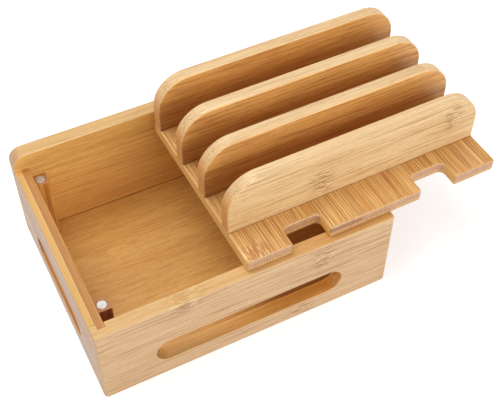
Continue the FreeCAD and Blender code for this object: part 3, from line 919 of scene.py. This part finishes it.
def back_panel():
    """The taller back board, with rounded top corners."""
    low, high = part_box("back_panel")
    panel = block("back_panel_wood", low, high)
    round_edges(
        panel, BACK_CORNER, ARC_STEPS,
        lambda start, end: runs_along(start, end, Y) and lies_on(start, end, Z, high.z),
    )

    def on_outline(start, end):
        on_face = lies_on(start, end, Y, low.y) or lies_on(start, end, Y, high.y)
        return on_face and not lies_on(start, end, Z, low.z)

    round_edges(panel, OUTER_EDGE, EDGE_STEPS, on_outline)
    cut_joints(panel)
    hand_over(panel, "back_panel", "box", "panel_bamboo")


def side_ply(node, shown, slot, margin, rim):
    """One ply of a side wall, shown on its left (-1) or right (1) face."""
    low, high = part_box(node)
    ply = block(f"{node}_wood", low, high)
    saw_cable_slot(ply, X, margin)
    shown_face, hidden_face = (low.x, high.x) if shown < 0 else (high.x, low.x)
    round_edges(
        ply, INNER_EDGE, EDGE_STEPS,
        lambda start, end: lies_on(start, end, X, shown_face) and inside(start, end, Y, low, high)
        and inside(start, end, Z, low, high),
    )
    for face, radius in ((shown_face, rim), (hidden_face, SEAM_EDGE)):
        round_edges(
            ply, radius, EDGE_STEPS,
            lambda start, end: lies_on(start, end, Z, high.z) and lies_on(start, end, X, face),
        )
    hand_over(ply, node, "box", slot)


def posts():
    """Four square posts with a blind hole in the top for a magnet."""
    first_low, first_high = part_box(f"{CORNERS[0]}_post")
    magnet_low, magnet_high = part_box(f"{CORNERS[0]}_post_magnet")
    post = block("post", first_low, first_high)
    round_edges(
        post, POST_EDGE, EDGE_STEPS,
        lambda start, end: not lies_on(start, end, Z, first_low.z),
    )
    middle = (magnet_low + magnet_high) / 2
    radius = (magnet_high.x - magnet_low.x) / 2 + POCKET_CLEARANCE
    cut_out(post, disc("pocket_cutter", middle, radius, magnet_low.z, magnet_high.z + OVERRUN))
    for corner in CORNERS:
        node = f"{corner}_post"
        twin = copy_of(post, f"{node}_wood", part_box(node)[0] - first_low)
        hand_over(twin, node, "box", "post_bamboo")
    bpy.data.meshes.remove(post.data)


def magnets():
    """Eight plated discs, four in the posts and four in the underside of the lid."""
    first = f"{CORNERS[0]}_post_magnet"
    low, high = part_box(first)
    magnet = disc("magnet", (low + high) / 2, (high.x - low.x) / 2, low.z, high.z)
    round_edges(magnet, MAGNET_EDGE, EDGE_STEPS, lambda start, end: True)
    for body, holder in (("box", "post"), ("lid", "lid")):
        for corner in CORNERS:
            node = f"{corner}_{holder}_magnet"
            near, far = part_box(node)
            twin = copy_of(magnet, f"{node}_disc", (near + far) / 2 - (low + high) / 2)
            hand_over(twin, node, body, "magnet")
    bpy.data.meshes.remove(magnet.data)


# The boards of the lid, made in the lid's own axes and then turned the way it lies


def lid_plate():
    """The plate, with two notches for cables in its front edge."""
    low, high = lid_box("lid_plate")
    plate = block("lid_plate_wood", low, high)
    for share in NOTCH_PLACES:
        middle = low.x + (high.x - low.x) * share
        near = Vector((middle - NOTCH_WIDTH / 2, low.y - OVERRUN, low.z - OVERRUN))
        far = Vector((middle + NOTCH_WIDTH / 2, low.y + NOTCH_DEPTH, high.z + OVERRUN))
        cutter = block("notch_cutter", near, far)
        round_edges(
            cutter, NOTCH_CORNER, CORNER_STEPS,
            lambda start, end: runs_along(start, end, Z) and lies_on(start, end, Y, far.y),
        )
        cut_out(plate, cutter)
    round_edges(
        plate, TAB_CORNER, CORNER_STEPS,
        lambda start, end: runs_along(start, end, Z) and lies_on(start, end, Y, low.y),
    )

    def on_outline(start, end):
        on_face = lies_on(start, end, Z, low.z) or lies_on(start, end, Z, high.z)
        return on_face and not lies_on(start, end, Y, high.y)

    round_edges(plate, OUTER_EDGE, EDGE_STEPS, on_outline)
    for corner in CORNERS:
        near, far = lid_box(f"{corner}_lid_magnet")
        radius = (far.x - near.x) / 2 + POCKET_CLEARANCE
        cut_out(plate, disc("pocket_cutter", (near + far) / 2, radius, near.z - OVERRUN, far.z))
    cut_screw_holes(plate, low, high)
    turn_with_lid(plate)
    hand_over(plate, "lid_plate", "lid", "plate_bamboo")


def cut_screw_holes(plate, low, high):
    """Countersunk holes from under the plate, on the middle line of each divider."""
    for node in DIVIDERS:
        near, far = lid_box(node)
        for x in (low.x + SCREW_INSET, high.x - SCREW_INSET):
            bpy.ops.object.select_all(action="DESELECT")
            bpy.ops.mesh.primitive_cone_add(
                vertices=DISC_SIDES, radius1=SCREW_HEAD_HOLE, radius2=SCREW_SHANK_HOLE,
                depth=SCREW_HEAD_HEIGHT, location=(x, (near.y + far.y) / 2, low.z + SCREW_HEAD_HEIGHT / 2),
            )
            cutter = bpy.context.object
            settle(cutter)
            draw_out(cutter, low.z, -OVERRUN)
            draw_out(cutter, low.z + SCREW_HEAD_HEIGHT, high.z - low.z)
            cut_out(plate, cutter)


def draw_out(piece, height, length):
    """Draw the flat face at a height out along the upright axis."""
    only(piece)
    bpy.ops.object.mode_set(mode="EDIT")
    bpy.ops.mesh.select_mode(type="FACE")
    bpy.ops.mesh.select_all(action="DESELECT")
    bpy.ops.object.mode_set(mode="OBJECT")
    for face in piece.data.polygons:
        face.select = abs(face.center.z - height) < NEAR
    bpy.ops.object.mode_set(mode="EDIT")
    bpy.ops.mesh.extrude_region_move(TRANSFORM_OT_translate={"value": (0.0, 0.0, length)})
    bpy.ops.object.mode_set(mode="OBJECT")


def dividers():
    """Four upright boards as long as the plate, with large rounded top corners."""
    first_low, first_high = lid_box(DIVIDERS[0])
    board = block("divider", first_low, first_high)
    round_edges(
        board, DIVIDER_CORNER, ARC_STEPS,
        lambda start, end: runs_along(start, end, Y) and lies_on(start, end, Z, first_high.z),
    )

    def on_outline(start, end):
        on_face = lies_on(start, end, Y, first_low.y) or lies_on(start, end, Y, first_high.y)
        return on_face and not lies_on(start, end, Z, first_low.z)

    round_edges(board, OUTER_EDGE, EDGE_STEPS, on_outline)
    for node in DIVIDERS:
        twin = copy_of(board, f"{node}_wood", lid_box(node)[0] - first_low)
        turn_with_lid(twin)
        hand_over(twin, node, "lid", "divider_bamboo")
    bpy.data.meshes.remove(board.data)


front_panel()
back_panel()
side_ply("left_side_outer_ply", -1, "outer_ply_bamboo", OUTER_PLY_SLOT_MARGIN, OUTER_EDGE)
side_ply("left_side_inner_ply", 1, "inner_ply_bamboo", SIDE_SLOT_MARGIN, INNER_EDGE)
side_ply("right_side_outer_ply", 1, "outer_ply_bamboo", OUTER_PLY_SLOT_MARGIN, OUTER_EDGE)
side_ply("right_side_inner_ply", -1, "inner_ply_bamboo", SIDE_SLOT_MARGIN, INNER_EDGE)
posts()
magnets()
lid_plate()
dividers()
for node, slot in (("base_board", "base_bamboo"), ("divider_screws", "screw")):
    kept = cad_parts[node]
    kept.data.materials.clear()
    kept.data.materials.append(FINISHES[slot])


# Floor, light and camera

WHITE = (1.0, 1.0, 1.0, 1.0)
PAPER_COLOURS = ((0.8, 0.8, 0.8, 1.0), (0.84, 0.84, 0.84, 1.0))
PAPER_ROUGHNESS = 0.9
FLOOR_REACH = 8.0
FLOOR_GLOW = 0.5
FLOOR_FADE = (0.4, 1.6)
SKY_LIGHT = 0.45
LAMP_AIM = Vector((0.05, 0.0, 0.06))
# Each lamp's place, the side of its square and its power
LAMPS = {
    "overhead_soft_box": (Vector((-0.3, 0.35, 1.45)), 1.1, 12.8),
    "front_soft_box": (Vector((0.4, -1.5, 0.75)), 1.0, 11.5),
}
CAMERA_LENS = 67.555
CAMERA_NEAREST = 10.0 * MM
CAMERA_PLACE = Vector((-190.372, -457.476, 635.733)) * MM
CAMERA_AZIMUTH = math.radians(-27.275)
CAMERA_ELEVATION = math.radians(49.093)
CAMERA_ROLL = math.radians(0.368)


def seen_ray(tree):
    """1 for rays from the eye, straight, mirrored or through glass, and 0 for rays of light."""
    path = add(tree, "ShaderNodeLightPath").outputs
    mirrored = calc(tree, "MAXIMUM", path["Is Glossy Ray"], path["Is Transmission Ray"])
    return calc(tree, "MAXIMUM", path["Is Camera Ray"], mirrored)


def studio_floor():
    """A wide sheet of white paper, that glows to plain white away from the object and keeps its shadow."""
    bpy.ops.object.select_all(action="DESELECT")
    bpy.ops.mesh.primitive_plane_add(size=FLOOR_REACH)
    floor = bpy.context.object
    floor.name = "studio_floor"
    paper, tree, shader = new_finish("white_paper")
    place = add(tree, "ShaderNodeTexCoord").outputs["Object"]
    fibres = pattern(tree, "paper", place)
    tree.links.new(blend_colour(tree, fibres, *PAPER_COLOURS), shader.inputs["Base Color"])
    shader.inputs["Roughness"].default_value = PAPER_ROUGHNESS
    shader.inputs["Specular IOR Level"].default_value = 0.0
    shader.inputs["Emission Color"].default_value = WHITE
    far = add(tree, "ShaderNodeVectorMath", {0: place}, operation="LENGTH").outputs["Value"]
    glow = spread(tree, far, *FLOOR_FADE, FLOOR_GLOW, 1.0)
    tree.links.new(together(tree, seen_ray(tree), glow), shader.inputs["Emission Strength"])
    floor.data.materials.append(paper)


def studio_light():
    """A pale sky all round that is white to the eye, and two large soft lamps."""
    world = bpy.data.worlds.new("studio")
    bpy.context.scene.world = world
    world.use_nodes = True
    tree = world.node_tree
    backdrop = tree.nodes["Background"]
    backdrop.inputs["Color"].default_value = WHITE
    strength = calc(tree, "MULTIPLY_ADD", seen_ray(tree), 1.0 - SKY_LIGHT, SKY_LIGHT)
    tree.links.new(strength, backdrop.inputs["Strength"])
    for name, (place, size, power) in LAMPS.items():
        lamp = bpy.data.lights.new(name, "AREA")
        lamp.shape = "SQUARE"
        lamp.size = size
        lamp.energy = power
        soft_box = bpy.data.objects.new(name, lamp)
        bpy.context.scene.collection.objects.link(soft_box)
        soft_box.location = place
        soft_box.rotation_euler = (LAMP_AIM - place).to_track_quat("-Z", "Y").to_euler()


def photo_camera():
    """The camera, where the photograph was taken from."""
    camera = bpy.data.objects.new("photo_camera", bpy.data.cameras.new("photo_camera"))
    bpy.context.scene.collection.objects.link(camera)
    camera.data.lens = CAMERA_LENS
    camera.data.clip_start = CAMERA_NEAREST
    camera.matrix_world = (
        Matrix.Translation(CAMERA_PLACE)
        @ Matrix.Rotation(CAMERA_AZIMUTH, 4, "Z")
        @ Matrix.Rotation(math.pi / 2 - CAMERA_ELEVATION, 4, "X")
        @ Matrix.Rotation(CAMERA_ROLL, 4, "Z")
    )
    bpy.context.scene.camera = camera


studio_floor()
studio_light()
photo_camera()
bpy.context.scene.view_settings.view_transform = "Standard"
